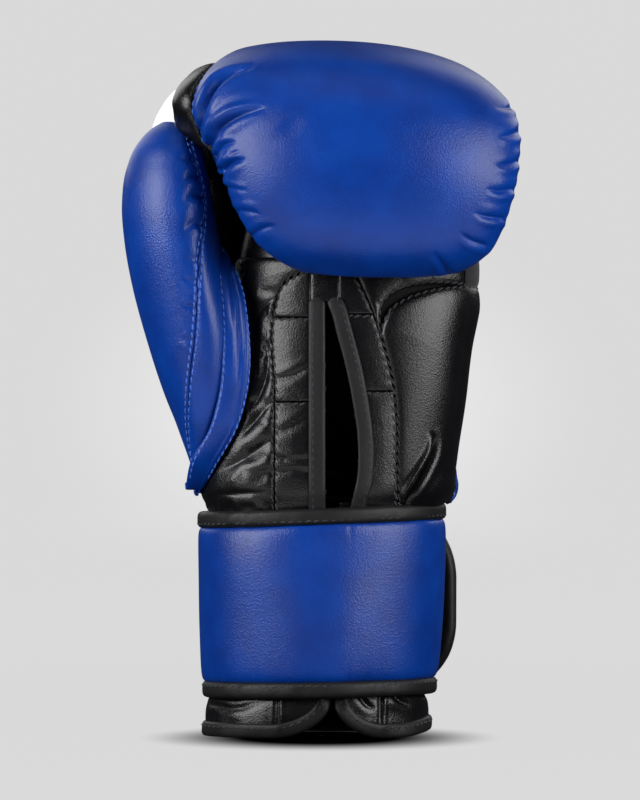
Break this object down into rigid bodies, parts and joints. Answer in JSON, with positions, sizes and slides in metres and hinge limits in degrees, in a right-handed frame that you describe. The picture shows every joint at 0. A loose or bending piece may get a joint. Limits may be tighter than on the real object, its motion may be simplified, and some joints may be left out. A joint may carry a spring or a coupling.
{
  "type": "boxing glove",
  "caption": "Padded leather boxing glove for the left hand, with a slit palm, a lined hand pocket, an attached thumb and a wrap-around wrist strap that fastens at the back.",
  "frame": {"origin": "centre of the wrist opening, in the plane the cuff stands on", "axes": "+Z from the wrist opening towards the knuckles, -Y out of the palm, thumb at -X"},
  "size_m": [0.1662, 0.1335, 0.29],
  "materials": {
    "blue_leather": "glossy",
    "black_leather": "glossy",
    "white_leather": "glossy",
    "binding_tape": "matte",
    "lining_fabric": "matte",
    "hook_tape": "matte",
    "loop_tape": "matte",
    "padding_foam": "matte"
  },
  "bodies": {
    "glove": {"back_accent_black": "black_leather", "back_accent_white": "white_leather", "back_cover": "blue_leather", "back_foam": "padding_foam", "cuff_back_cover": "blue_leather", "cuff_back_foam": "padding_foam", "cuff_flap_heel_side": "black_leather", "cuff_flap_thumb_side": "black_leather", "cuff_rim_binding": "binding_tape", "finger_pocket": "black_leather", "fist_cover": "blue_leather", "fist_foam_inner": "padding_foam", "fist_foam_outer": "padding_foam", "grip_bar": "padding_foam", "hand_lining": "lining_fabric", "heel_pad_cover": "black_leather", "heel_pad_foam": "padding_foam", "loop_patch": "loop_tape", "palm_panel_thumb_side": "black_leather", "palm_strip_heel_side": "black_leather", "side_gusset_heel_side": "black_leather", "side_gusset_thumb_side": "black_leather", "slit_binding": "binding_tape", "strap_root_web": "black_leather", "thumb_base_panel": "blue_leather", "thumb_lock_strap": "blue_leather"},
    "thumb": {"thumb_cover": "blue_leather", "thumb_foam": "padding_foam", "thumb_lining": "lining_fabric"},
    "strap_heel": {"strap_heel_binding": "binding_tape", "strap_heel_cover": "blue_leather", "strap_heel_foam": "padding_foam"},
    "strap_palm": {"strap_palm_binding": "binding_tape", "strap_palm_cover": "blue_leather", "strap_palm_foam": "padding_foam"},
    "strap_side": {"strap_side_binding": "binding_tape", "strap_side_cover": "blue_leather", "strap_side_foam": "padding_foam"},
    "strap_tail": {"hook_patch": "hook_tape", "strap_tail_binding": "binding_tape", "strap_tail_cover": "blue_leather", "strap_tail_foam": "padding_foam"}
  },
  "joints": [
    {"name": "thumb_root", "type": "hinge", "parent": "glove", "child": "thumb", "pos_m": [-0.05, -0.006, 0.11], "axis": [0, -1, 0], "range_deg": [-1, 5], "stiffness_Nm_per_rad": 2},
    {"name": "strap_side_fold", "type": "hinge", "parent": "strap_palm", "child": "strap_side", "pos_m": [-0.052, 0.001, 0.056], "axis": [0, 0, 1], "range_deg": [0, 100]},
    {"name": "strap_root_fold", "type": "hinge", "parent": "glove", "child": "strap_heel", "pos_m": [0.0517, -0.005, 0.056], "axis": [0, 0, 1], "range_deg": [0, 35]},
    {"name": "strap_palm_fold", "type": "hinge", "parent": "strap_heel", "child": "strap_palm", "pos_m": [0, -0.0412, 0.056], "axis": [0, 0, 1], "range_deg": [0, 60]},
    {"name": "strap_tail_fold", "type": "hinge", "parent": "strap_side", "child": "strap_tail", "pos_m": [-0.015, 0.0412, 0.056], "axis": [0, 0, 1], "range_deg": [0, 50]}
  ],
  "couplings": [
    {"joint": "strap_root_fold", "follows": "strap_side_fold", "ratio": 0.35},
    {"joint": "strap_palm_fold", "follows": "strap_side_fold", "ratio": 0.6},
    {"joint": "strap_tail_fold", "follows": "strap_side_fold", "ratio": 0.5}
  ]
}
